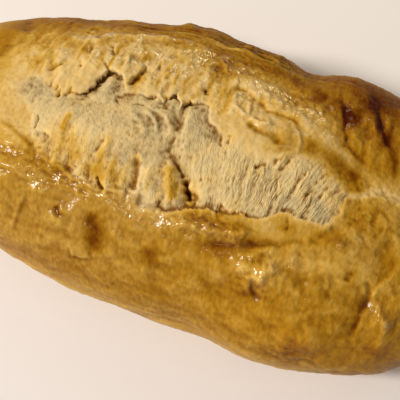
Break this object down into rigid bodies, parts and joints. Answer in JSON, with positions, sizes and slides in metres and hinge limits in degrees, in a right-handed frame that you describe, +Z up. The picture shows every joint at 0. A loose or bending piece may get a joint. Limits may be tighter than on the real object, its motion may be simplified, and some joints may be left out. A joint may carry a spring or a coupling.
{
  "type": "plain loaf",
  "caption": "Oval white hearth loaf with a glazed golden crust, its long score burst open on top to show pale torn crumb.",
  "frame": {"origin": "middle of the loaf's plan box, on the flat base it rests on", "axes": "+X along the loaf toward the end with the folded crust, +Y toward the far side, +Z up through the crown"},
  "size_m": [0.284, 0.1432, 0.0879],
  "materials": {
    "crust": "baked golden crust with a thin egg-wash shine, pale matt crumb in the burst"
  },
  "bodies": {
    "root": {"loaf": "crust"}
  },
  "joints": []
}
